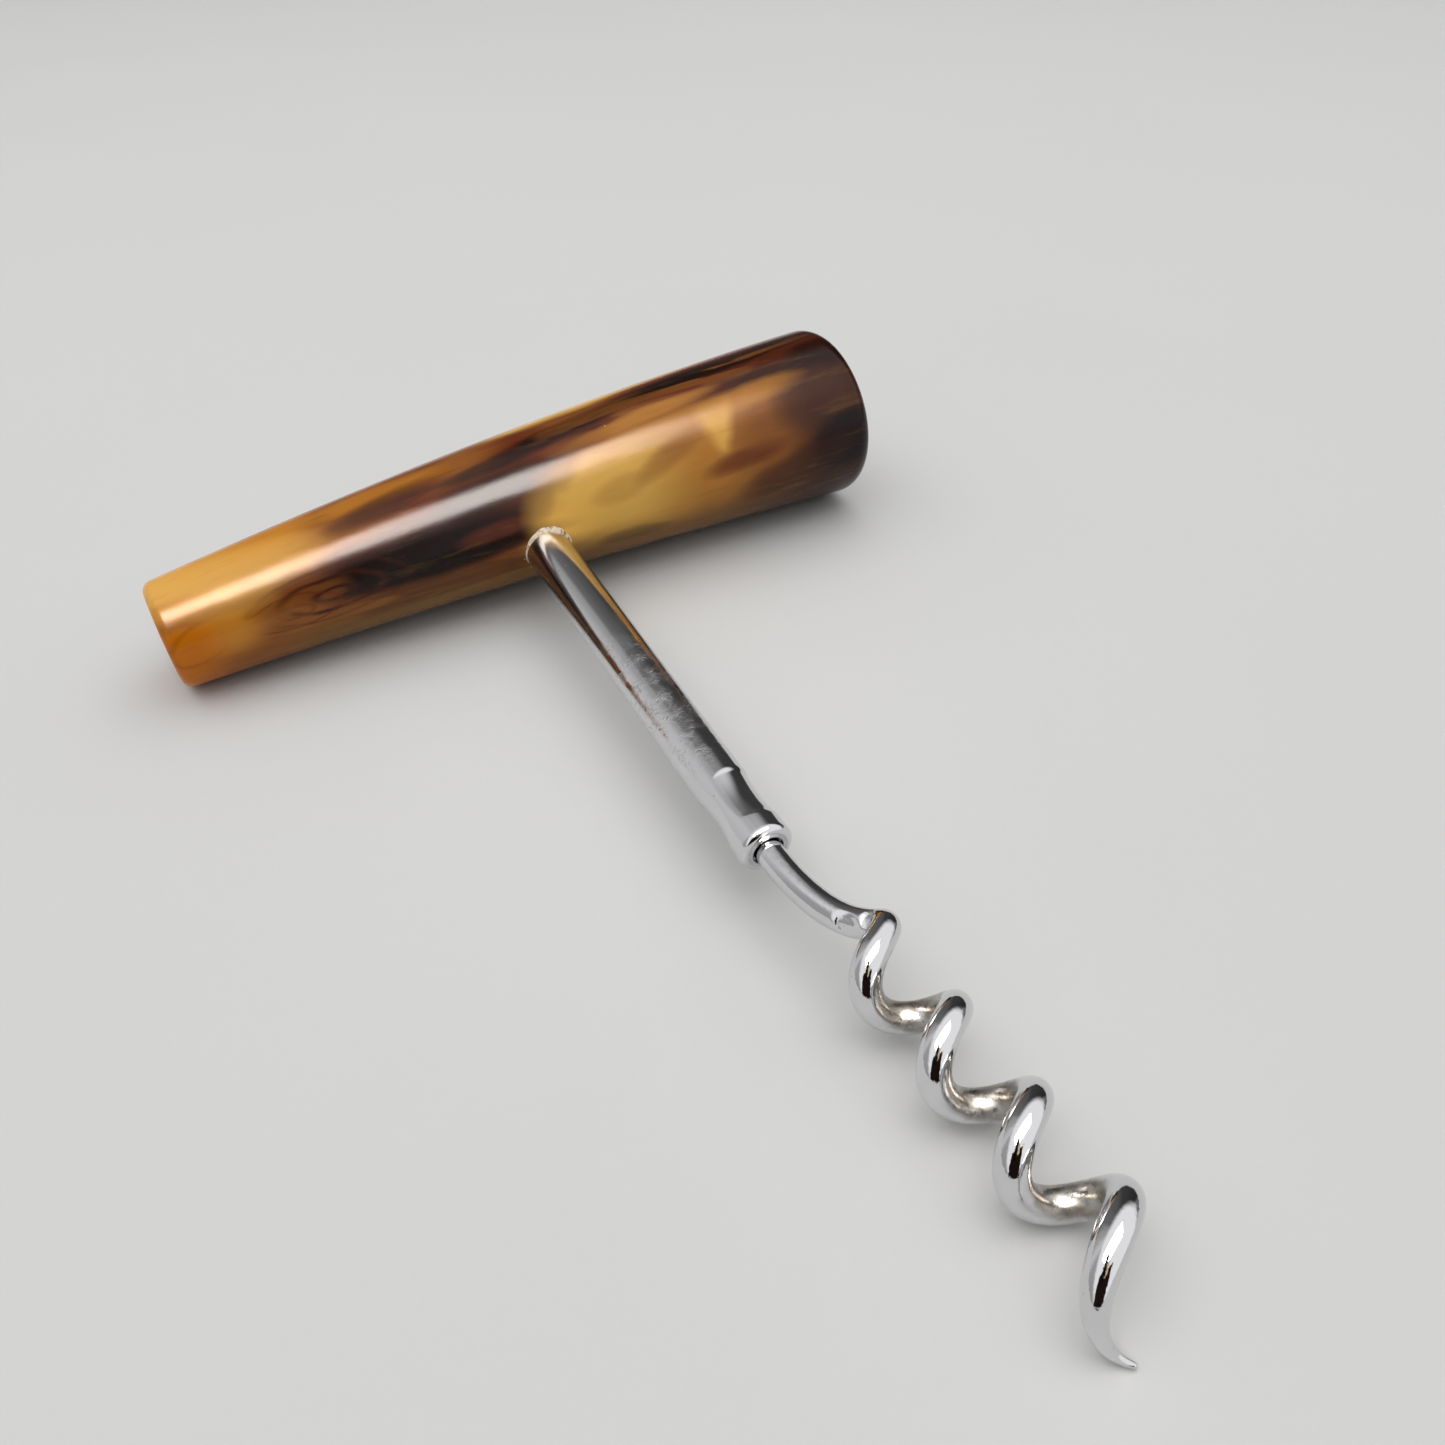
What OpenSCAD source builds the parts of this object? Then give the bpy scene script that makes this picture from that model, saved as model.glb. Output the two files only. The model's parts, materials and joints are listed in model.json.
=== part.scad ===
// A direct-pull corkscrew: a turned resin crossbar handle, a plated steel shank cemented
// into it, and a wire worm crimped into the shank's end. It lies on a table on the side
// of its handle and the underside of its worm. The origin is on the table, under the
// middle of the whole tool. +X runs towards the handle's big end, the worm points to -Y.

/* [Handle] */
// Length of the handle from end face to end face
handle_len = 104.4; // [92:0.1:120]
// Diameter the taper has at the small end
small_end_d = 14.6; // [11:0.1:17]
// Diameter the taper has at the big end
big_end_d = 26; // [20:0.1:29]
// How far the side bellies out past the straight taper
belly = 0.3; // [0.2:0.1:2.4]
// How much the belly leans to the big end, as a share of its height
belly_skew = 0.16; // [0:0.02:0.3]
// Radius of the rounded rim at the small end
small_rim = 1; // [0.4:0.1:2]
// Rounded rim at the big end, measured along the handle
big_rim_len = 2.4; // [1:0.1:4]
// Rounded rim at the big end, measured across the handle
big_rim_drop = 1.7; // [0.6:0.1:2.4]

/* [Shank] */
// Diameter of the shank rod
shank_d = 6.35; // [5.8:0.05:7.5]
// Where the shank crosses the handle, from the small end
shank_at = 51.2; // [46:0.1:56]
// Distance from the handle's axis to the shank's free end
shank_reach = 73.3; // [62:0.1:90]
// How far the shank goes into the handle past the handle's axis
shank_past = 4.5; // [3:0.1:6]
// Angle the shank leans towards the small end
shank_lean = 2.4; // [-3:0.1:3]
// Number of keying grooves on the buried end
grooves = 4; // [2:1:5]
// Length of the crimped stretch
crimp_len = 7; // [5:0.1:9]
// How far each crimping jaw pressed the rod in
crimp_depth = 0.32; // [0.15:0.01:0.45]
// Plain length left between the crimp and the free end
crimp_gap = 3.1; // [2.5:0.1:5]
// Direction the jaws pressed from, turned up from +X
crimp_turn = 42; // [0:1:90]

/* [Worm] */
// Diameter of the worm's wire
wire_d = 3.2; // [2.8:0.05:3.4]
// Distance between neighbouring turns
coil_pitch = 10.5; // [9:0.1:12]
// Mean radius of the first turn, from the worm's axis to the middle of the wire
coil_r = 2.86; // [2.4:0.01:3.4]
// How much the mean radius grows with each turn
coil_grow = 0.16; // [0:0.01:0.25]
// Number of turns from the top of the first turn to the point
turns = 3.5; // [3:0.25:4]
// Distance from the handle's axis to the top of the first turn
coil_reach = 90.5; // [86:0.1:104]
// Sideways shift of the worm's axis at the first turn
coil_shift = -1.6; // [-3:0.1:3]
// Angle of the worm's axis towards the big end
coil_yaw = 0.6; // [-3:0.1:3]
// Angle of the worm's axis down from the shank's plane
coil_dip = 0.4; // [-2:0.1:2]
// Length of the ground point
point_len = 13; // [8:0.5:18]
// How much the last turn is drawn out towards the point
point_stretch = 2; // [0:0.1:4]
// How far the point swings to the side out of the last turn
point_swing = 3.3; // [0:0.1:4]

/* [Cement] */
// Width of the cement-filled gap round the shank in the handle
cement_gap = 0.45; // [0.3:0.05:0.7]
// How far the bead stands out from the shank
bead_w = 1.1; // [0.7:0.1:1.6]
// How far the bead climbs the shank above the handle's side
bead_h = 0.7; // [0.3:0.1:1.2]

/* [Hidden] */
// Gap left between surfaces that are cemented or crimped together
fit_gap = 0.02;
$fn = 96;
shank_r = shank_d / 2;
wire_r = wire_d / 2;
hole_r = shank_r + cement_gap;
small_r = small_end_d / 2;
big_r = big_end_d / 2;

// ---- Handle outline: [along the handle from the small end, radius] ----
function side_r(s) =
    small_r + (big_r - small_r) * s + 4 * belly * s * (1 - s) * (1 + belly_skew * (2 * s - 1));

side_from = small_rim / handle_len;
side_to = 1 - big_rim_len / handle_len;
side_steps = 28;
rim_steps = 7;
handle_outline = concat(
    [for (i = [0 : rim_steps - 1])
        let (a = 90 * i / rim_steps)
        [small_rim * (1 - cos(a)), side_r(side_from) - small_rim * (1 - sin(a))]],
    [for (i = [0 : side_steps])
        let (s = side_from + (side_to - side_from) * i / side_steps)
        [s * handle_len, side_r(s)]],
    [for (i = [1 : rim_steps])
        let (a = 90 * i / rim_steps)
        [handle_len - big_rim_len * (1 - sin(a)), side_r(side_to) - big_rim_drop * (1 - cos(a))]]
);

// ---- Path of the worm's wire, in the tool's own frame ----
// The tool's own frame has its origin where the shank crosses the handle's axis, +X along
// the handle to the big end, -Y along the shank and +Z up, before the tool is laid down.
shank_dir = [-sin(shank_lean), -cos(shank_lean), 0];
stem_from = shank_reach * shank_dir;
coil_dir = [sin(coil_yaw) * cos(coil_dip), -cos(coil_yaw) * cos(coil_dip), -sin(coil_dip)];
coil_side = cross(coil_dir, [0, 0, 1]) / norm(cross(coil_dir, [0, 0, 1]));
coil_up = cross(coil_side, coil_dir);
coil_top = [coil_shift, -coil_reach, 0];
// Share of a turn that the point's sideways swing takes up
swing_turns = 0.75;
swing_from = turns - swing_turns;
swing_drop = 0.25;

// Middle of the wire after n turns, counted from the top of the first turn
function coil_at(n) =
    let (swing = pow(max(0, n - swing_from) / swing_turns, 2),
         r = coil_r + coil_grow * n,
         along = coil_pitch * n + point_stretch * swing)
    coil_top + along * coil_dir
        + (r * cos(360 * n) - swing_drop * swing) * coil_up
        + (r * sin(360 * n) + point_swing * swing) * coil_side;

// Smooth curve from the end of the crimped stem to the top of the first turn
stem_pull = 53;
coil_pull = 19.5;
coil_heading = (coil_at(0.001) - coil_at(0)) / norm(coil_at(0.001) - coil_at(0));
function stem_at(t) =
    (2 * pow(t, 3) - 3 * pow(t, 2) + 1) * stem_from
    + (pow(t, 3) - 2 * pow(t, 2) + t) * stem_pull * shank_dir
    + (3 * pow(t, 2) - 2 * pow(t, 3)) * coil_at(0)
    + (pow(t, 3) - pow(t, 2)) * coil_pull * coil_heading;

stem_rings = 16;
turn_rings = 26;
coil_rings = round(turns * turn_rings);
wire_path = concat(
    [for (i = [0 : stem_rings - 1]) stem_at(i / stem_rings)],
    [for (i = [0 : coil_rings]) coil_at(turns * i / coil_rings)]
);
path_end = len(wire_path) - 1;

// Wire radius, ground down over the last stretch before the point
tip_r = 0.15;
step_len = norm(wire_path[path_end] - wire_path[path_end - 1]);
function wire_r_at(i) =
    let (left = min(1, (path_end - i) * step_len / point_len))
    tip_r + (wire_r - tip_r) * (1 - pow(1 - left, 1.6));

// ---- Laying the tool down ----
// The handle's taper tips the tool about Y, and the worm drops until it meets the table.
tip_angle = atan((big_r - small_r) / handle_len);
handle_low = min([for (q = handle_outline)
    (q[0] - shank_at) * sin(tip_angle) - q[1] * cos(tip_angle)]);
function laid_height(q, droop) =
    q[0] * sin(tip_angle) + (q[1] * sin(droop) + q[2] * cos(droop)) * cos(tip_angle);
function worm_low(droop) =
    min([for (i = [0 : path_end]) laid_height(wire_path[i], droop) - wire_r_at(i)]);
worm_mid = coil_reach + coil_pitch * turns * 0.7;
function settle(droop, rounds) =
    rounds == 0 ? droop
    : settle(droop + asin((worm_low(droop) - handle_low) / worm_mid), rounds - 1);
droop = settle(0, 8);

handle_low_x = min([for (q = handle_outline)
    (q[0] - shank_at) * cos(tip_angle) - q[1] * sin(tip_angle)]);
handle_high_x = max([for (q = handle_outline)
    (q[0] - shank_at) * cos(tip_angle) + q[1] * sin(tip_angle)]);
handle_high_y = max([for (q = handle_outline) q[1]]);
worm_low_y = min([for (i = [0 : path_end])
    wire_path[i][1] * cos(droop) - wire_path[i][2] * sin(droop) - wire_r_at(i)]);
to_origin = [
    -(handle_low_x + handle_high_x) / 2,
    -(worm_low_y + handle_high_y) / 2,
    -handle_low
];

// Moves children from the tool's own frame to where the tool lies on the table
module lay_down() {
    translate(to_origin)
        rotate([0, -tip_angle, 0])
            rotate([droop, 0, 0])
                children();
}

// Children's +Z becomes the shank's direction, with z = 0 on the handle's axis
module along_shank() {
    rotate([0, 0, -shank_lean])
        rotate([90, 0, 0])
            children();
}

// ---- Handle ----
// The turned bar, grown outwards along its side by an amount
module handle_body(grow = 0) {
    translate([-shank_at, 0, 0])
        rotate([0, 90, 0])
            rotate_extrude()
                polygon(concat(
                    [[0, 0]],
                    [for (q = handle_outline) [q[1] + grow, q[0]]],
                    [[0, handle_len]]
                ));
}

hole_floor = shank_past + 0.8;
module handle() {
    color([0.72, 0.42, 0.13])
        lay_down()
            difference() {
                handle_body();
                along_shank()
                    translate([0, 0, -hole_floor])
                        cylinder(h = hole_floor + big_r + 3, r = hole_r);
            }
}

// ---- Shank ----
groove_w = 1.1;
groove_depth = 0.35;
groove_step = 2.6;
end_round = 0.8;
mouth_r = wire_r + 0.55;
mouth_depth = 2.2;
stem_depth = 16;
ring_w = 0.2;
ring_depth = 0.1;
ring_r = (mouth_r + shank_r - end_round) / 2;

shank_outline = concat(
    [[0, -shank_past], [shank_r - 0.4, -shank_past], [shank_r, -shank_past + 0.4]],
    [for (i = [0 : grooves - 1])
        let (z = -shank_past + 1.2 + groove_step * i)
        each [[shank_r, z], [shank_r - groove_depth, z + 0.2],
              [shank_r - groove_depth, z + groove_w - 0.2], [shank_r, z + groove_w]]],
    [for (i = [0 : 6])
        let (a = 90 * i / 6)
        [shank_r - end_round * (1 - cos(a)), shank_reach - end_round * (1 - sin(a))]],
    [[ring_r + ring_w, shank_reach], [ring_r + ring_w, shank_reach - ring_depth],
     [ring_r, shank_reach - ring_depth], [ring_r, shank_reach],
     [0, shank_reach]]
);

// Room left inside one jaw: the rod's own radius along the crimp, wider past both ends
jaw_slope = 0.8;
crimp_to = shank_reach - crimp_gap;
crimp_from = crimp_to - crimp_len;
module jaw() {
    open_r = shank_r + crimp_depth + 1;
    rotate_extrude()
        polygon([
            [0, -shank_past - 1], [open_r, -shank_past - 1],
            [open_r, crimp_from - jaw_slope], [shank_r, crimp_from + jaw_slope],
            [shank_r, crimp_to - jaw_slope], [open_r, crimp_to + jaw_slope],
            [open_r, shank_reach + 1], [0, shank_reach + 1]
        ]);
}

module shank() {
    color([0.82, 0.82, 0.84])
        lay_down() along_shank()
            difference() {
                intersection() {
                    rotate_extrude() polygon(shank_outline);
                    rotate([0, 0, crimp_turn]) translate([-crimp_depth, 0, 0]) jaw();
                    rotate([0, 0, crimp_turn]) translate([crimp_depth, 0, 0]) jaw();
                }
                translate([0, 0, shank_reach - stem_depth])
                    cylinder(h = stem_depth + 1, r = wire_r + fit_gap);
                translate([0, 0, shank_reach - mouth_depth])
                    cylinder(h = mouth_depth + 1, r = mouth_r);
            }
}

// ---- Worm ----
function unit(v) = v / norm(v);
function heading(i) = unit(wire_path[min(i + 1, path_end)] - wire_path[max(i - 1, 0)]);
function square_to(v, h) = unit(v - (v * h) * h);
// One direction across the wire per ring, carried along the path so the rings don't twist
across = [for (i = 0, v = square_to([0, 0, 1], heading(0)); i <= path_end;
               i = i + 1, v = i <= path_end ? square_to(v, heading(i)) : v) v];

wire_sides = 14;
wire_points = [for (i = [0 : path_end])
    let (w = cross(heading(i), across[i]))
    for (j = [0 : wire_sides - 1])
        let (a = 360 * j / wire_sides)
        wire_path[i] + wire_r_at(i) * (cos(a) * across[i] + sin(a) * w)];
wire_faces = concat(
    [[for (j = [0 : wire_sides - 1]) j]],
    [for (i = [0 : path_end - 1]) for (j = [0 : wire_sides - 1])
        let (a = i * wire_sides, k = (j + 1) % wire_sides)
        [a + j, a + wire_sides + j, a + wire_sides + k, a + k]],
    [[for (j = [wire_sides - 1 : -1 : 0]) path_end * wire_sides + j]]
);

module worm() {
    color([0.78, 0.78, 0.8])
        lay_down() {
            along_shank()
                translate([0, 0, shank_reach - stem_depth + fit_gap])
                    cylinder(h = stem_depth, r = wire_r);
            polyhedron(points = wire_points, faces = wire_faces, convexity = 8);
        }
}

// ---- Cement ----
// Where the handle's side lies above its axis at the shank
side_at_shank = side_r(shank_at / handle_len);
// The sleeve stops below the hole's rim, and the bead fills in from there
sleeve_to = side_at_shank - 1.5;
bead_foot = side_at_shank - 1.1;
bead_steps = 6;

module cement_sleeve() {
    along_shank()
        difference() {
            translate([0, 0, -hole_floor + fit_gap])
                cylinder(h = hole_floor + sleeve_to, r = hole_r - fit_gap);
            translate([0, 0, -shank_past - fit_gap])
                cylinder(h = shank_past + big_r, r = shank_r + fit_gap);
        }
}

// Domed ring round the shank, cut to sit on the handle's side
module cement_bead() {
    inner_r = shank_r + fit_gap;
    difference() {
        along_shank()
            rotate_extrude()
                polygon(concat(
                    [[inner_r, sleeve_to], [hole_r - fit_gap, sleeve_to],
                     [hole_r - fit_gap, bead_foot], [shank_r + bead_w, bead_foot]],
                    [for (i = [0 : bead_steps])
                        let (a = 90 * i / bead_steps)
                        [inner_r + (bead_w - fit_gap) * cos(a), side_at_shank + bead_h * sin(a)]]
                ));
        difference() {
            handle_body(fit_gap);
            along_shank()
                cylinder(h = side_at_shank + 3, r = hole_r - fit_gap);
        }
    }
}

module cement() {
    color([0.85, 0.82, 0.74])
        lay_down() {
            cement_sleeve();
            cement_bead();
        }
}

handle();
shank();
worm();
cement();
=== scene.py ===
"""Builds the looks of a direct-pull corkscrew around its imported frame.

The tool has a marbled resin crossbar handle, a plated steel shank cemented into it, and a
plated wire worm crimped into the shank's free end. It lies on a pale table.
"""

import json
import math
import random

import bmesh
import bpy
from mathutils import Matrix, Vector, noise


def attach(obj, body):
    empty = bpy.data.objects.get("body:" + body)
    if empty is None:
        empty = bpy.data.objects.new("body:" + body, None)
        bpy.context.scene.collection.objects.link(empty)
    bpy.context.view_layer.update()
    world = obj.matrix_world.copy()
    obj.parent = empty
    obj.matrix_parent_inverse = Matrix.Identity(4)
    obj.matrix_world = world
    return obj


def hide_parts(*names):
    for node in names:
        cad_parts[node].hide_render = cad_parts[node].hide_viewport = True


bl_info = {
    "name": "T-handle Corkscrew",
    "version": (1, 0, 0),
    "blender": (4, 5, 0),
    "location": "3D View > Sidebar > Corkscrew",
    "description": "Adds a marbled resin handle, a crimped shank, a wire worm and their stage",
    "category": "Add Mesh",
}

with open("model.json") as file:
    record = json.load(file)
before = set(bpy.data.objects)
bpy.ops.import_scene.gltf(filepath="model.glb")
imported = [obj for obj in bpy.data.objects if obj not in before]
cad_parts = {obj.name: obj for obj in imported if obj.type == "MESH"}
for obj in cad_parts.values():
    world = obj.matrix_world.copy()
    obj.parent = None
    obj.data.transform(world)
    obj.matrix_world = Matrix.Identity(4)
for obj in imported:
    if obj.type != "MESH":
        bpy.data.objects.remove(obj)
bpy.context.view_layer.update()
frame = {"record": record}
MM = 0.001


def mount(name):
    """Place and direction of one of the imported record's mounts."""
    found = next(m for m in frame["record"]["mounts"] if m["name"] == name)
    return Vector(found["pos_m"]), Vector(found["axis"]).normalized()


def crossing(place, way, other, other_way):
    """The point on the first line that is nearest to the second line."""
    across = way.cross(other_way)
    return place + way * ((other - place).cross(other_way).dot(across) / across.length_squared)


# The tool's own frame: +X along the handle to its big end, -Y out along the shank, +Z up,
# with the origin where the shank crosses the handle's axis.
BIG_END, ALONG = mount("big_end")
SMALL_END, _ = mount("small_end")
ON_SHANK, SHANK_WAY = mount("shank_hang")
POINT_PLACE, COIL_WAY = mount("worm_in_cork")
HANDLE_LEN = (BIG_END - SMALL_END).length
CENTRE = crossing(SMALL_END, ALONG, ON_SHANK, SHANK_WAY)
SHANK_AT = (CENTRE - SMALL_END).length
UP = SHANK_WAY.cross(ALONG).normalized()
BACK = UP.cross(ALONG)
LAY = Matrix((ALONG, BACK, UP)).transposed().to_4x4()
LAY.translation = CENTRE
UNLAY = LAY.inverted()
SHANK_DIR = (UNLAY.to_3x3() @ SHANK_WAY).normalized()
COIL_DIR = (UNLAY.to_3x3() @ COIL_WAY).normalized()
POINT_END = UNLAY @ POINT_PLACE


def paint(red, green, blue):
    """A colour given as 0 to 255 on screen, as the light values that shaders take."""
    def light(level):
        level = level / 255
        return level / 12.92 if level <= 0.04045 else ((level + 0.055) / 1.055) ** 2.4
    return light(red), light(green), light(blue)


def length(name, description, default):
    """A size in metres."""
    return bpy.props.FloatProperty(
        name=name, description=description, default=default * MM, min=0, unit="LENGTH", precision=5)


def offset(name, description, default):
    """A place in metres, which may be negative."""
    return bpy.props.FloatProperty(
        name=name, description=description, default=default * MM, unit="LENGTH", precision=5)


def share(name, description, default):
    """A plain number."""
    return bpy.props.FloatProperty(name=name, description=description, default=default, precision=3)


def turn(name, description, default):
    """An angle, given in degrees."""
    return bpy.props.FloatProperty(
        name=name, description=description, default=math.radians(default), subtype="ANGLE")


def colour(name, description, default):
    """A colour that goes straight to a shader."""
    return bpy.props.FloatVectorProperty(
        name=name, description=description, default=default, size=3, min=0, max=1, subtype="COLOR")


# ---------------------------------------------------------------- settings

class HandleSettings(bpy.types.PropertyGroup):
    """Sizes and colours of the turned resin handle."""
    small_end_d: length("Small end", "Diameter the taper has at the small end", 14.6)
    big_end_d: length("Big end", "Diameter the taper has at the big end", 26.0)
    belly: length("Belly", "How far the side bellies out past the straight taper", 0.3)
    belly_skew: share("Belly skew", "How much the belly leans to the big end", 0.16)
    bow: length("Bow", "How far the middle of the bar bows up from a straight line", 1.5)
    small_rim: length("Small rim", "Radius of the rounded rim at the small end", 1.4)
    big_rim_len: length("Big rim length", "Rounded rim at the big end, along the handle", 2.4)
    big_rim_drop: length("Big rim drop", "Rounded rim at the big end, across the handle", 1.7)
    wave: length("Waviness", "Height of the unevenness that hand polishing left", 0.03)
    honey: colour("Honey", "Colour of the pale clouds at the small end", paint(222, 166, 78))
    amber: colour("Amber", "Main colour of the resin", paint(192, 124, 38))
    orange: colour("Orange", "Colour at the small end", paint(194, 108, 8))
    straw: colour("Straw", "Colour of the light middle", paint(216, 168, 78))
    ochre: colour("Ochre", "Colour round the light middle", paint(180, 120, 46))
    # Olive is partly painted shade: the underside it colours is darker because it faces down.
    olive: colour("Olive", "Colour of the dull underside", paint(120, 82, 36))
    tan: colour("Tan", "Colour of thin brown veils", paint(138, 82, 32))
    rust: colour("Rust", "Colour where dark swirls thin out", paint(100, 42, 14))
    umber: colour("Umber", "Colour of the dark swirls", paint(52, 20, 9))
    soot: colour("Soot", "Colour of the darkest swirls", paint(18, 4, 2))
    smoke: colour("Smoke", "Colour of the greyish cloud at the big end", paint(74, 42, 30))


class ShankSettings(bpy.types.PropertyGroup):
    """Sizes of the plated rod."""
    diameter: length("Diameter", "Diameter of the rod", 6.35)
    reach: length("Reach", "From the handle's axis to the free end", 73.3)
    past: length("Past", "How far the rod goes past the handle's axis", 4.5)
    end_round: length("End rounding", "Radius of the free end's rounded rim", 0.8)
    crimp_len: length("Crimp length", "Length of the crimped stretch", 7.0)
    crimp_gap: length("Crimp gap", "Plain length between the crimp and the free end", 3.1)
    crimp_depth: length("Crimp depth", "How far each jaw pressed the rod in", 0.36)
    crimp_turn: turn("Crimp turn", "Direction the jaws pressed from, up from the handle", 42)
    mouth: length("Mouth gap", "Gap round the wire at the mouth of the hole", 0.24)
    plating: colour("Plating", "Colour of the bright plating", (0.70, 0.70, 0.715))
    tarnish: colour("Tarnish", "Colour of specks and thin dull patches", (0.20, 0.19, 0.18))


class WormSettings(bpy.types.PropertyGroup):
    """Sizes of the coiled wire."""
    wire_d: length("Wire", "Diameter of the wire", 3.2)
    pitch: length("Pitch", "Distance between neighbouring turns", 10.5)
    coil_r: length("Coil radius", "Mean radius of the first turn", 2.86)
    coil_grow: length("Coil growth", "How much the mean radius grows each turn", 0.16)
    turns: share("Turns", "Turns from the top of the first turn to the point", 3.5)
    point_len: length("Point length", "Length of the ground point", 13.0)
    point_stretch: length("Point stretch", "How much the last turn is drawn out", 2.0)
    point_swing: length("Point swing", "How far the point swings to the side", 3.3)
    nip_depth: length("Nip depth", "Depth of the marks the bending jaws left", 0.34)
    plating: colour("Plating", "Colour of the bright plating", (0.70, 0.70, 0.715))
    # Painted shade: this colour darkens the plating inside the turns; the pits take it too, as real
    # stains.
    shade_and_stain: colour("Stain", "Colour of the dull plating inside the turns", (0.27, 0.245, 0.21))


class CementSettings(bpy.types.PropertyGroup):
    """Sizes and colours of the cement round the shank."""
    width: length("Width", "How far the bead stands out from the shank", 0.75)
    height: length("Height", "How far the bead climbs the shank", 0.8)
    crumbs: bpy.props.IntProperty(name="Crumbs", description="Loose grains round the bead", default=22)
    chalk: colour("Chalk", "Colour of clean cement", paint(206, 190, 164))
    grime: colour("Grime", "Colour of dirt in the cement", paint(120, 84, 48))


class StageSettings(bpy.types.PropertyGroup):
    """Floor, lights and camera."""
    floor: colour("Floor", "Colour of the table", paint(206, 206, 205))
    key: share("Key light", "Brightness of the overhead soft box", 0.95)
    ceiling: share("Ceiling", "Brightness of the large ceiling", 0.72)
    room: share("Room", "Brightness of the room all round", 0.08)
    lamp: share("Lamp", "Brightness of the soft box in reflections", 35.0)
    azimuth: turn("Azimuth", "Where the camera stands round the tool", -28.956)
    elevation: turn("Elevation", "Height of the camera as an angle", 40.045)
    roll: turn("Roll", "Roll of the camera", -1.508)
    distance: length("Distance", "From the camera to what it aims at", 151.445)
    aim_right: offset("Aim right", "How far right of the origin the camera aims", 6.3)
    aim_back: offset("Aim back", "How far behind the origin the camera aims", 12.83)
    lens: share("Lens", "Focal length in millimetres on a 36 mm frame", 29.44)


# ---------------------------------------------------------------- shader nodes

def math_method(operation, swapped=False):
    """A method that makes a Math node of two terms, with the other one first if swapped."""
    def act(self, other):
        terms = (other, self) if swapped else (self, other)
        return self.maths(operation, *terms)
    return act


class Value:
    """A shader socket that Python's operators turn into Math nodes."""

    def __init__(self, shader, socket):
        self.shader = shader
        self.socket = socket

    def maths(self, operation, *terms):
        """A Math node on these terms, which are Values or numbers."""
        sockets = dict(enumerate(terms))
        return self.shader.value("ShaderNodeMath", {"operation": operation}, sockets)

    __add__ = math_method("ADD")
    __radd__ = math_method("ADD", swapped=True)
    __sub__ = math_method("SUBTRACT")
    __rsub__ = math_method("SUBTRACT", swapped=True)
    __mul__ = math_method("MULTIPLY")
    __rmul__ = math_method("MULTIPLY", swapped=True)
    __truediv__ = math_method("DIVIDE")
    __pow__ = math_method("POWER")

    def __abs__(self):
        return self.maths("ABSOLUTE", self)

    def sine(self):
        """The sine of an angle in radians."""
        return self.maths("SINE", self)

    def step(self, start, end):
        """Rises smoothly from 0 at start to 1 at end, whichever of them is larger."""
        return self.shader.value(
            "ShaderNodeMapRange", {"interpolation_type": "SMOOTHSTEP"},
            {"Value": self, "From Min": start, "From Max": end})


def full_colour(tone):
    """A Value as it is, or a colour with the fourth part that sockets take."""
    return tone if isinstance(tone, Value) else (*tone, 1)


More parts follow.
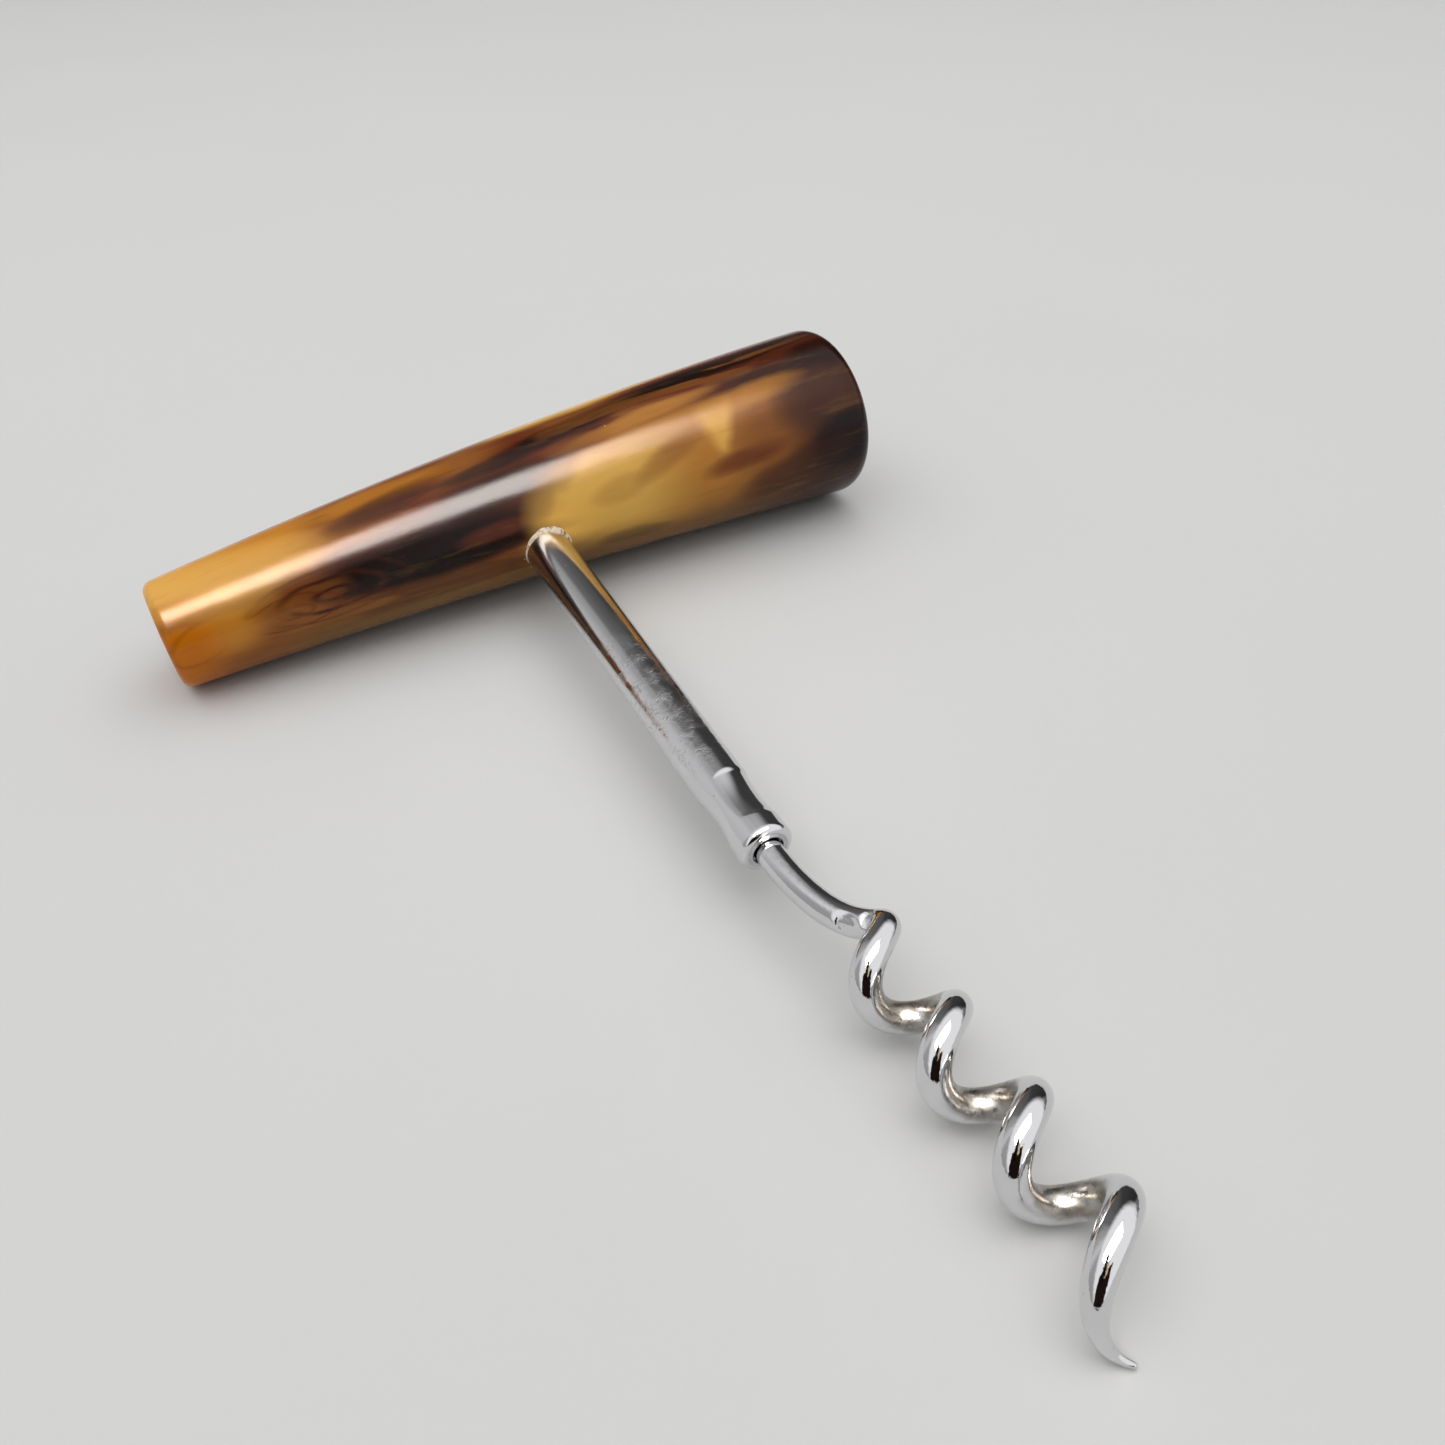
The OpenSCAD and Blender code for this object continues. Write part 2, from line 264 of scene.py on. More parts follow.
class Shader:
    """One material's node tree."""

    def __init__(self, name):
        self.material = bpy.data.materials.new(name)
        self.material.use_nodes = True
        self.tree = self.material.node_tree
        self.tree.nodes.clear()
        self.place = self.value("ShaderNodeTexCoord", output="Object")

    def node(self, kind, settings=None, sockets=None):
        """Adds a node: its settings first, then the values or links of its sockets."""
        made = self.tree.nodes.new(kind)
        for key, setting in (settings or {}).items():
            if key == "stops":
                self.set_stops(made.color_ramp, setting)
            else:
                setattr(made, key, setting)
        for key, term in (sockets or {}).items():
            if isinstance(term, Value):
                self.tree.links.new(term.socket, made.inputs[key])
            else:
                made.inputs[key].default_value = term
        return made

    def value(self, kind, settings=None, sockets=None, output=0):
        """Adds a node and gives one of its outputs as a Value."""
        return Value(self, self.node(kind, settings, sockets).outputs[output])

    @staticmethod
    def set_stops(ramp, stops):
        """Fills a ramp with (place, grey level or colour) stops."""
        ramp.interpolation = "EASE"
        while len(ramp.elements) > 1:
            ramp.elements.remove(ramp.elements[-1])
        for index, (place, level) in enumerate(stops):
            element = ramp.elements[0] if index == 0 else ramp.elements.new(place)
            element.position = place
            shade = (level,) * 3 if isinstance(level, (int, float)) else tuple(level)
            element.color = (*shade, 1)

    def ramp(self, source, stops):
        """A grey or coloured ramp with eased stops, read at source."""
        return self.value("ShaderNodeValToRGB", {"stops": stops}, {"Fac": source})

    def vector(self, operation, first, second=(0, 0, 0), output="Vector"):
        """A Vector Math node."""
        return self.value(
            "ShaderNodeVectorMath", {"operation": operation}, {0: first, 1: second}, output)

    def parts(self, vector):
        """The three parts of a vector."""
        split = self.node("ShaderNodeSeparateXYZ", sockets={0: vector})
        return [Value(self, output) for output in split.outputs]

    def join(self, x, y, z):
        """A vector from three Values or numbers."""
        return self.value("ShaderNodeCombineXYZ", sockets={0: x, 1: y, 2: z})

    def dot(self, vector, direction):
        """How far a vector goes in a direction."""
        return self.vector("DOT_PRODUCT", vector, tuple(direction), "Value")

    def noise(self, place, scale, detail=3.0, rough=0.5, twist=0.0):
        """Cloudy noise from 0 to 1, mostly near 0.5."""
        return self.value(
            "ShaderNodeTexNoise", sockets={
                "Vector": place, "Scale": scale, "Detail": detail,
                "Roughness": rough, "Distortion": twist})

    def specks(self, scale, edge, clump_scale, clump_detail, clump_edge):
        """Small round spots that come in clumps."""
        away = self.value("ShaderNodeTexVoronoi", sockets={"Vector": self.place, "Scale": scale})
        clumps = self.noise(self.place, clump_scale, clump_detail)
        return away.step(*edge) * clumps.step(*clump_edge)

    def mix(self, amount, first, second):
        """Goes from the first colour to the second as amount goes from 0 to 1."""
        sockets = {0: amount, 6: full_colour(first), 7: full_colour(second)}
        settings = {"data_type": "RGBA", "clamp_factor": True}
        return self.value("ShaderNodeMix", settings, sockets, output=2)

    def bump(self, height, strength, distance, below=None):
        """Bends the normal by a height in metres times distance."""
        sockets = {"Height": height, "Strength": strength, "Distance": distance}
        if below is not None:
            sockets["Normal"] = below
        return self.value("ShaderNodeBump", sockets=sockets)

    def surface(self, **sockets):
        """The finished surface. Underscores in the names stand for spaces."""
        named = {key.replace("_", " "): term for key, term in sockets.items()}
        body = self.value("ShaderNodeBsdfPrincipled", sockets=named, output="BSDF")
        self.node("ShaderNodeOutputMaterial", sockets={"Surface": body})
        return self.material


# ---------------------------------------------------------------- meshes

def place_mesh(name, bm, material):
    """Turns a bmesh into an object of the scene."""
    mesh = bpy.data.meshes.new(name)
    bm.to_mesh(mesh)
    bm.free()
    mesh.materials.append(material)
    made = bpy.data.objects.new(name, mesh)
    bpy.context.scene.collection.objects.link(made)
    return made


def finish_piece(name, bm, material):
    """Turns a bmesh into a smooth piece that rides on the tool's one body."""
    bmesh.ops.recalc_face_normals(bm, faces=bm.faces)
    for face in bm.faces:
        face.smooth = True
    piece = place_mesh(name, bm, material)
    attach(piece, "root")
    return piece


def skin_rings(bm, rings):
    """Joins rings of points in the tool's own frame with faces, and gives their vertices."""
    skin = [[bm.verts.new(LAY @ point) for point in ring] for ring in rings]
    count = len(rings[0])
    for near, far in zip(skin, skin[1:]):
        for j in range(count):
            k = (j + 1) % count
            bm.faces.new((near[j], near[k], far[k], far[j]))
    return skin


def loft(name, rings, material):
    """A smooth skin over rings, closed at both ends."""
    bm = bmesh.new()
    skin = skin_rings(bm, rings)
    bm.faces.new(list(reversed(skin[0])))
    bm.faces.new(skin[-1])
    return finish_piece(name, bm, material)


def carry_frames(path):
    """For each point of a path, two directions across it that don't twist along it."""
    last = len(path) - 1
    across = Vector((0, 0, 1))
    frames = []
    for i in range(last + 1):
        heading = (path[min(i + 1, last)] - path[max(i - 1, 0)]).normalized()
        across = (across - heading * across.dot(heading)).normalized()
        frames.append((across.copy(), heading.cross(across)))
    return frames


def ease(level):
    """Rises smoothly from 0 to 1."""
    level = min(1.0, max(0.0, level))
    return level * level * (3 - 2 * level)


# ---------------------------------------------------------------- handle

def side_radius(settings, at):
    """Radius of the handle's side at a share of its length."""
    small = settings.small_end_d / 2
    big = settings.big_end_d / 2
    lean = 1 + settings.belly_skew * (2 * at - 1)
    return small + (big - small) * at + 4 * settings.belly * at * (1 - at) * lean


def bowed(settings, at):
    """How far the middle of the handle lies above its straight axis, at a share of its length."""
    return settings.bow * 4 * at * (1 - at)


def handle_outline(settings):
    """Points [along the handle, radius], from the middle of one end face to the other."""
    side_steps, rim_steps, face_steps = 150, 12, 14
    start = settings.small_rim / HANDLE_LEN
    end = 1 - settings.big_rim_len / HANDLE_LEN
    start_r = side_radius(settings, start)
    end_r = side_radius(settings, end)
    points = []
    for i in range(1, face_steps):
        points.append((0, (start_r - settings.small_rim) * i / face_steps))
    for i in range(rim_steps):
        a = math.pi / 2 * i / rim_steps
        points.append((settings.small_rim * (1 - math.cos(a)),
                       start_r - settings.small_rim * (1 - math.sin(a))))
    for i in range(side_steps + 1):
        at = start + (end - start) * i / side_steps
        points.append((at * HANDLE_LEN, side_radius(settings, at)))
    for i in range(1, rim_steps + 1):
        a = math.pi / 2 * i / rim_steps
        points.append((HANDLE_LEN - settings.big_rim_len * (1 - math.sin(a)),
                       end_r - settings.big_rim_drop * (1 - math.cos(a))))
    for i in range(1, face_steps):
        points.append((HANDLE_LEN, (end_r - settings.big_rim_drop) * (1 - i / face_steps)))
    return points


def handle_rings(settings):
    """Rings of the handle, with the slight unevenness of a hand-polished side."""
    sides = 160
    rings = []
    for along, radius in handle_outline(settings):
        lift = bowed(settings, along / HANDLE_LEN)
        ring = []
        for j in range(sides):
            a = math.tau * j / sides
            round_about = Vector((along / 0.022, math.cos(a) * 1.1, math.sin(a) * 1.1))
            grow = settings.wave * (noise.noise(round_about) + 0.4 * noise.noise(round_about * 3.1))
            grow *= ease(radius / settings.small_end_d)
            r = radius + grow
            ring.append(Vector((along - SHANK_AT, -r * math.cos(a), lift + r * math.sin(a))))
        rings.append(ring)
    return rings


class Marble:
    """Paints swirls on the handle by share of its length and by angle round it.

    The angle is in degrees: 0 faces along the shank, 90 faces up.
    """

    def __init__(self, shader, settings):
        self.shader = shader
        self.tone = None
        small_r = settings.small_end_d / 2
        grow = settings.big_end_d / 2 - small_r
        centred = shader.vector("SUBTRACT", shader.place, tuple(CENTRE))
        self.x = shader.dot(centred, ALONG)
        self.y = shader.dot(centred, BACK)
        self.z = shader.dot(centred, UP)
        self.stream = shader.join(self.x * 0.4, self.y, self.z)
        along = (self.x + SHANK_AT) / HANDLE_LEN
        arch = 4 * along * (1 - along)
        over = self.z - arch * settings.bow
        bow_turn = 11
        angle = self.x.maths("ARCTAN2", over, self.y * -1) * (180 / math.pi) + arch * bow_turn
        slow = self.wander(46, 2.0)
        fast = self.wander(210, 3.0)
        wide = self.wander(62, 2.0)
        far = self.y.step(0.001, 0.007)
        self.s = along + slow[0] * 0.050 + fast[0] * 0.018 + wide[0] * far * 0.40
        self.a = angle + slow[1] * 20 + fast[1] * 9 + wide[1] * far * 90
        from_axis = (self.y * self.y + over * over) ** 0.5
        self.core = (from_axis / (along * grow + small_r)).step(0.93, 0.62)
        self.high = (self.a * (math.pi / 180)).sine()

    def wander(self, scale, detail):
        """Two noises about 0 that push the swirls along and around."""
        cloud = self.shader.value("ShaderNodeTexNoise", sockets={
            "Vector": self.stream, "Scale": scale, "Detail": detail, "Roughness": 0.55},
            output="Color")
        split = self.shader.node("ShaderNodeSeparateColor", sockets={0: cloud})
        return [Value(self.shader, split.outputs[i]) - 0.5 for i in (0, 1)]

    def lay(self, amount, shade):
        """Covers what is painted so far with a colour, by an amount from 0 to 1."""
        self.tone = self.shader.mix(amount, self.tone, shade)

    def dab(self, shade, strength, *where, **edge):
        """Lays a soft-edged patch of a colour."""
        self.lay(self.patch(*where, **edge) * strength, shade)

    def away(self, s, a, half_s, half_a, shear=0.0):
        """Squared distance from a middle, 1 on an ellipse of the given half sizes."""
        ds = (self.s - s) / half_s
        da = (self.a - a) / half_a
        if shear:
            da = da - ds * shear
        return ds * ds + da * da

    def patch(self, s, a, half_s, half_a, shear=0.0, soft=0.8):
        """A soft-edged patch."""
        return self.away(s, a, half_s, half_a, shear).step(1 + soft, 1 - soft)

    def loops(self, s, a, half_s, half_a, shear=0.0, *, count, thin):
        """Thin lines nested round a middle, wavering and broken in places."""
        field = self.away(s, a, half_s, half_a, shear) ** 0.5
        waver = self.shader.noise(self.stream, 130, 2, 0.5)
        turns = field * count + waver * 0.8
        wave = abs((turns * math.pi).sine())
        broken = self.shader.noise(self.stream, 170, 2).step(0.34, 0.48)
        return wave.step(thin, 0) * field.step(1.25, 0.95) * broken

    def threads(self, scale, low, high):
        """Soft threads drawn out along the bar."""
        drawn = self.shader.join(self.s * 0.016, self.y, self.z)
        return self.shader.noise(drawn, scale, 2, 0.5, 0.4).step(low, high)

    def band(self, lower, upper, soft_low, soft_high):
        """Between two soft-edged curves of angle, each given as (share, degrees) stops."""
        def curve(stops):
            levels = [(at, (degrees + 180) / 360) for at, degrees in stops]
            return self.shader.ramp(self.s, levels) * 360 - 180
        above = (self.a - curve(lower)).step(-soft_low, soft_low)
        below = (curve(upper) - self.a).step(-soft_high, soft_high)
        return above * below


def clouds(shader, m, colours):
    """The handle's large soft areas of colour: top, sides and an underside darkened partly by painted
    shade.
    """
    top = shader.ramp(m.s, [
        (0.0, colours.honey), (0.16, colours.amber), (0.24, colours.tan), (0.34, colours.rust),
        (0.42, colours.tan), (0.50, colours.rust), (0.60, colours.tan), (0.72, colours.rust),
        (0.84, colours.umber)])
    side = shader.ramp(m.s, [
        (0.03, colours.orange), (0.075, colours.amber), (0.12, colours.tan),
        (0.20, colours.tan), (0.44, colours.tan), (0.51, colours.straw),
        (0.62, colours.straw), (0.74, colours.ochre), (0.84, colours.tan), (0.93, colours.umber)])
    # The underside ramp is partly painted shade: olive and umber darken the faces that turn down.
    under = shader.ramp(m.s, [
        (0.0, colours.orange), (0.09, colours.tan), (0.20, colours.olive), (0.70, colours.olive),
        (0.95, colours.umber)])
    whole = shader.mix(m.high.step(0.84, 0.95), side, top)
    return shader.mix(m.high.step(0.20, -0.30), whole, under)


def swirls(m, colours):
    """The dark swirls, from the small end to the big one."""
    soft = m.shader.noise(m.stream, 200, 2, 0.5)
    # pale cloud over the small end
    m.dab(colours.honey, 0.7, 0.08, 66, 0.12, 30)
    m.dab(colours.amber, 0.6, 0.30, 100, 0.09, 14)

    # the main swirl: over the near side, then up and along the top to the big end
    main = m.band(
        [(0.12, 40), (0.16, 24), (0.20, 14), (0.45, 13), (0.49, 26), (0.53, 48), (0.58, 70),
         (0.65, 82), (0.74, 88), (0.86, 84), (1.0, 70)],
        [(0.12, 41), (0.17, 46), (0.24, 54), (0.32, 64), (0.42, 76), (0.52, 96), (0.62, 106),
         (0.80, 112), (1.0, 118)], 11, 10)
    m.lay(main * 0.95, colours.rust)
    m.lay(main * m.s.step(0.15, 0.24) * m.s.step(0.52, 0.38) * 0.8, colours.umber)
    m.lay(main * soft.step(0.40, 0.62) * 0.6, colours.umber)
    m.dab(colours.soot, 1.0, 0.33, 31, 0.16, 15, 0.2)
    m.dab(colours.soot, 0.95, 0.37, 18, 0.14, 8, soft=0.9)
    m.dab(colours.rust, 0.55, 0.43, 30, 0.05, 7)
    m.dab(colours.soot, 0.75, 0.44, 60, 0.10, 12, 0.6)
    m.lay(m.threads(260, 0.50, 0.62) * m.patch(0.34, 0, 0.20, 12) * 0.6, colours.umber)
    m.dab(colours.soot, 0.8, 0.46, 84, 0.09, 7, 0.5)
    m.dab(colours.soot, 0.9, 0.55, 92, 0.08, 8, 0.3)
    m.dab(colours.soot, 0.95, 0.78, 98, 0.24, 9, 0.2)
    m.dab(colours.soot, 0.85, 0.97, 74, 0.06, 14)

    # hooks at the main swirl's near end
    m.dab(colours.tan, 0.5, 0.17, 27, 0.05, 13)
    m.lay(m.loops(0.20, 24, 0.10, 19, count=2.3, thin=0.9), colours.umber)
    m.lay(m.loops(0.145, 18, 0.06, 14, count=1.6, thin=0.6) * 0.75, colours.rust)
    curl = m.loops(0.035, 16, 0.06, 30, 0.4, count=1.1, thin=0.4) * m.s.step(0.07, 0.02)
    m.lay(curl * 0.3, colours.rust)

    # drawn wisps on the upper back
    m.dab(colours.umber, 0.75, 0.30, 82, 0.07, 12, 0.6, soft=0.9)
    m.lay(m.threads(330, 0.50, 0.60) * m.patch(0.34, 92, 0.12, 20) * 0.75, colours.umber)
    m.lay(m.threads(300, 0.52, 0.64) * m.patch(0.52, 112, 0.12, 18) * 0.7, colours.rust)
    m.lay(m.threads(360, 0.46, 0.36) * m.patch(0.75, 92, 0.22, 14) * 0.5, colours.tan)


def light_middle(m, colours):
    """The light middle, what crosses it, and the smoky big end."""
    m.dab(colours.straw, 0.5, 0.54, 30, 0.065, 26)
    m.dab(colours.ochre, 0.85, 0.67, 76, 0.10, 6)
    m.dab(colours.ochre, 0.7, 0.69, 60, 0.16, 10)
    m.dab(colours.tan, 0.5, 0.57, 75, 0.05, 7)
    m.dab(colours.tan, 0.6, 0.69, 40, 0.05, 9, 0.9, soft=0.95)
    m.dab(colours.tan, 0.3, 0.61, 30, 0.04, 9)
    # a light wedge that narrows downwards
    half_wide = (m.a - 20) * 0.00062
    wedge = (abs(m.s - 0.768) - half_wide).step(0.013, -0.010) * m.a.step(70, 48) * m.a.step(24, 34)
    m.lay(wedge, colours.honey)
    m.dab(colours.rust, 0.8, 0.80, 22, 0.06, 6, 0.5, soft=0.9)
    m.dab(colours.tan, 0.5, 0.83, 34, 0.05, 10)
    m.dab(colours.ochre, 0.6, 0.86, 62, 0.06, 8)
    m.dab(colours.smoke, 0.75, 0.93, 44, 0.07, 20)
    m.dab(colours.soot, 1.0, 0.975, 10, 0.065, 20, soft=0.5)
    m.dab(colours.umber, 0.7, 0.88, 4, 0.09, 12, 0.6)
    m.dab(colours.umber, 0.45, 0.62, -9, 0.05, 7)

    # the far side
    m.dab(colours.umber, 0.85, 0.24, 156, 0.2, 13, 0.6)
    m.dab(colours.soot, 0.9, 0.30, 150, 0.12, 6, 0.7)
    m.dab(colours.umber, 0.9, 0.62, -146, 0.24, 14, -0.5)
    m.dab(colours.soot, 0.95, 0.66, -146, 0.16, 7, -0.4)
    m.dab(colours.rust, 0.7, 0.16, -120, 0.14, 14, 0.8)
    m.dab(colours.umber, 0.75, 0.78, -95, 0.2, 13, 0.5)


def resin(settings):
    """The handle's cast resin: amber and straw clouds with rust, umber and soot swirls."""
    shader = Shader("marbled_resin")
    m = Marble(shader, settings)
    m.tone = clouds(shader, m, settings)
    swirls(m, settings)
    light_middle(m, settings)

    # the end faces cut across the swirls
    cut = shader.noise(m.stream, 120, 3, 0.5, 1.2)
    small_face = shader.mix(cut.step(0.42, 0.62), settings.orange, settings.rust)
    big_face = shader.mix(cut.step(0.40, 0.56), settings.soot, settings.rust)
    m.lay(m.core, shader.mix(m.x.step(-0.02, 0.02), small_face, big_face))

    # filaments drawn out along the bar, and a few pale chips
    drawn = shader.join(m.x * 0.10, m.y, m.z)
    streak = shader.noise(drawn, 800, 4, 0.6)
    m.lay(streak.step(0.52, 0.76) * 0.14, settings.umber)
    m.lay(streak.step(0.46, 0.28) * 0.06, settings.straw)
    chip = shader.specks(330, (0.05, 0.025), 140, 1, (0.58, 0.66))
    m.lay(chip * 0.8, settings.honey)

    # polish: hairline scratches, rubbed patches and tiny dents
    hair = shader.noise(shader.join(m.x * 0.25, m.y, m.z), 5200, 2, 0.6)
    grain = shader.noise(shader.place, 3800, 3, 0.65)
    rubbed = shader.noise(m.stream, 130, 3, 0.55)
    rough = 0.15 + rubbed.step(0.38, 0.70) * 0.08 + grain.step(0.45, 0.75) * 0.06
    fine_bump = shader.bump(grain + hair * 0.6, 0.22, 0.00004)
    normal = shader.bump(rubbed + chip * -0.7, 0.25, 0.00022, fine_bump)
    return shader.surface(
        Base_Color=m.tone, Roughness=rough, Normal=normal, Specular_IOR_Level=0.2,
        Subsurface_Weight=0.06, Subsurface_Radius=(1.0, 0.45, 0.15), Subsurface_Scale=0.0012)


class CORKSCREW_OT_add_handle(bpy.types.Operator):
    """Adds the turned and polished resin handle"""
    bl_idname = "corkscrew.add_handle"
    bl_label = "Add Handle"

    def execute(self, context):
        settings = context.scene.corkscrew_handle
        piece = loft("handle_bar", handle_rings(settings), resin(settings))
        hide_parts("handle")
        return {"FINISHED"}


# ---------------------------------------------------------------- shank

def crimped_radius(settings, along, angle):
    """Outer radius of the rod, pressed in by two opposite round jaws."""
    radius = settings.diameter / 2
    end = settings.reach - settings.crimp_gap
    start = end - settings.crimp_len
    ramp = 0.9 * MM
    inside = ease((along - start) / ramp + 0.5) * ease((end - along) / ramp + 0.5)
    if inside == 0:
        return radius
    middle = math.sin(math.pi * min(1, max(0, (along - start) / (end - start))))
    press = settings.crimp_depth * inside * (0.35 + 0.65 * middle)
    jaw = radius * 1.02
    found = radius
    for side in (0, math.pi):
        off = angle - settings.crimp_turn - side
        shift = jaw - radius + press
        if math.cos(off) > 0:
            reach = -shift * math.cos(off) + math.sqrt(jaw ** 2 - (shift * math.sin(off)) ** 2)
            found = min(found, reach)
    return found


def shank_outline(settings, wire_d):
    """Points (along, radius, crimped or not), round the rod's outside and into its hole."""
    radius = settings.diameter / 2
    turned = 0.10 * MM
    mouth = wire_d / 2 + settings.mouth
    bore = wire_d / 2 + 0.02 * MM
    top_chamfer, crimp_margin = 0.3 * MM, 2 * MM
    mouth_lip, mouth_depth, mouth_step, bore_depth = 0.04 * MM, 0.6 * MM, 0.75 * MM, 9 * MM
    points = [(-settings.past, radius * i / 6, False) for i in range(1, 6)]
    points += [(-settings.past + top_chamfer, radius, False), (0, radius, False)]
    first_bend = settings.reach - settings.crimp_gap - settings.crimp_len - crimp_margin
    steps = 24
    points += [(first_bend * i / steps, radius, False) for i in range(1, steps)]
    last = settings.reach - settings.end_round
    steps = 90
    points += [(first_bend + (last - first_bend) * i / steps, radius, True) for i in range(steps + 1)]
    for i in range(1, 11):
        a = math.pi / 2 * i / 10
        points.append((last + settings.end_round * math.sin(a),
                       radius - settings.end_round * (1 - math.cos(a)), False))
    rim = radius - settings.end_round
    steps = 36
    for i in range(1, steps):
        r = rim + (mouth - rim) * i / steps
        ripple = turned * (0.5 - 0.5 * math.cos(math.tau * 4 * i / steps))
        points.append((settings.reach - ripple, r, False))
    points.append((settings.reach, mouth + 0.03 * MM, False))
    points += [(settings.reach - mouth_lip - mouth_depth * i / 4, mouth, False) for i in range(5)]
    points.append((settings.reach - mouth_step, bore, False))
    points.append((settings.reach - bore_depth, bore, False))
    return points


def shank_rings(settings, wire_d):
    """Rings of the rod in the tool's own frame."""
    sides = 144
    up = Vector((0, 0, 1))
    side_dir = Vector((-SHANK_DIR.y, SHANK_DIR.x, 0)).normalized()
    rings = []
    for along, radius, crimped in shank_outline(settings, wire_d):
        ring = []
        for j in range(sides):
            a = math.tau * j / sides
            r = crimped_radius(settings, along, a) if crimped else radius
            out = side_dir * math.cos(a) + up * math.sin(a)
            ring.append(SHANK_DIR * along + out * r)
        rings.append(ring)
    return rings


def plating(settings):
    """Bright plating on the rod, with a frosted stretch, hairlines and a few pits."""
    shader = Shader("plated_steel")
    centred = shader.vector("SUBTRACT", shader.place, tuple(CENTRE))
    along = shader.dot(centred, SHANK_WAY)
    side = shader.dot(centred, ALONG)
    drawn = shader.vector("MULTIPLY", shader.place, (1, 0.12, 1))
    cloud = shader.noise(shader.place, 260, 4, 0.6, 0.5)
    frost = cloud.step(0.40, 0.58) * along.step(0.030, 0.042) * along.step(0.064, 0.056)
    frost = frost * side.step(0.0018, -0.0004)
    haze = shader.noise(drawn, 700, 3, 0.6)
    pits = shader.specks(900, (0.16, 0.04), 240, 2, (0.54, 0.68))
    face = along.step(0.0728, 0.0732)
    rough = 0.10 + frost * 0.12 + haze.step(0.45, 0.8) * 0.08 + pits * 0.15 - face * 0.04
    speck = shader.noise(shader.place, 2600, 3, 0.6).step(0.56, 0.66) * frost
    tone = shader.mix(pits * 0.7 + speck * 0.4, settings.plating, settings.tarnish)
    ripple = shader.noise(shader.place, 1500, 3, 0.6)
    hair = shader.noise(drawn, 5200, 2, 0.6)
    normal = shader.bump(hair, 0.08, 0.00003)
    normal = shader.bump((ripple - speck * 0.6) * frost - pits * 0.8, 0.4, 0.00007, normal)
    return shader.surface(
        Base_Color=tone, Metallic=1.0, Roughness=rough, Normal=normal)


class CORKSCREW_OT_add_shank(bpy.types.Operator):
    """Adds the plated rod with its crimp, turned end and hole"""
    bl_idname = "corkscrew.add_shank"
    bl_label = "Add Shank"

    def execute(self, context):
        settings = context.scene.corkscrew_shank
        rings = shank_rings(settings, context.scene.corkscrew_worm.wire_d)
        piece = loft("shank_rod", rings, plating(settings))
        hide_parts("shank")
        return {"FINISHED"}


# ---------------------------------------------------------------- worm

class WormPath:
    """The middle line of the wire in the tool's own frame."""

    def __init__(self, settings, shank_reach):
        self.settings = settings
        self.stem_from = SHANK_DIR * shank_reach
        self.side = COIL_DIR.cross(Vector((0, 0, 1))).normalized()
        self.up = self.side.cross(COIL_DIR)
        self.top = POINT_END - COIL_DIR * settings.pitch * settings.turns

    def coil(self, n):
        """After n turns from the top of the first turn."""
        s = self.settings
        swing_turns, point_dip = 0.75, 0.25 * MM
        swing = max(0.0, (n - s.turns + swing_turns) / swing_turns) ** 2
        radius = s.coil_r + s.coil_grow * n
        a = math.tau * n
        out = radius * math.cos(a) - point_dip * swing
        aside = radius * math.sin(a) + s.point_swing * swing
        along = s.pitch * n + s.point_stretch * swing
        return self.top + COIL_DIR * along + self.up * out + self.side * aside

    def stem(self, t):
        """From the shank's free end, t = 0, to the top of the first turn, t = 1."""
        stem_pull, coil_pull = 53 * MM, 19.5 * MM
        heading = (self.coil(0.001) - self.coil(0)).normalized()
        return ((2 * t ** 3 - 3 * t ** 2 + 1) * self.stem_from
                + (t ** 3 - 2 * t ** 2 + t) * stem_pull * SHANK_DIR
                + (3 * t ** 2 - 2 * t ** 3) * self.coil(0)
                + (t ** 3 - t ** 2) * coil_pull * heading)

    def points(self):
        """Points close together, from inside the shank to the tip."""
        buried, stem_steps, turn_steps = 10 * MM, 60, 96
        steps = round(self.settings.turns * turn_steps)
        line = [self.stem_from - SHANK_DIR * buried * (1 - i / 8) for i in range(8)]
        line += [self.stem(i / stem_steps) for i in range(stem_steps)]
        line += [self.coil(self.settings.turns * i / steps) for i in range(steps + 1)]
        return line


def nips(settings, gone, angle):
    """Depth of the marks that bending jaws left just before the first turn."""
    marks = (
        # distance from the shank's end, middle angle, half length, half angle, depth
        (13.2, 62, 1.5, 46, 1.0),
        (15.6, 24, 1.0, 34, 0.75),
        (16.4, 86, 0.8, 30, 0.6),
    )
    depth = 0.0
    for place, middle, half_len, half_angle, deep in marks:
        off = (math.degrees(angle) - middle + 180) % 360 - 180
        near = ((gone - place * MM) / (half_len * MM)) ** 2 + (off / half_angle) ** 2
        depth = max(depth, deep * settings.nip_depth * ease(1.6 - 1.6 * near))
    return depth


def worm_rings(settings, path):
    """Rings of the wire, ground down to a point."""
    sides = 36
    tip = 0.24 * MM
    point_curve = 1.6
    nipped_from, nipped_to = 8 * MM, 20 * MM
    radius = settings.wire_d / 2
    left = [0.0]
    for near, far in zip(reversed(path), list(reversed(path))[1:]):
        left.append(left[-1] + (far - near).length)
    left.reverse()
    stem_start = left[8]
    rings = []
    for i, (centre, (across, over)) in enumerate(zip(path, carry_frames(path))):
        ground = min(1.0, left[i] / settings.point_len)
        r = tip + (radius - tip) * (1 - (1 - ground) ** point_curve)
        gone = stem_start - left[i]
        ring = []
        for j in range(sides):
            a = math.tau * j / sides
            pressed = nips(settings, gone, a) if nipped_from < gone < nipped_to else 0.0
            ring.append(centre + (across * math.cos(a) + over * math.sin(a)) * (r - pressed))
        rings.append(ring)
    return rings


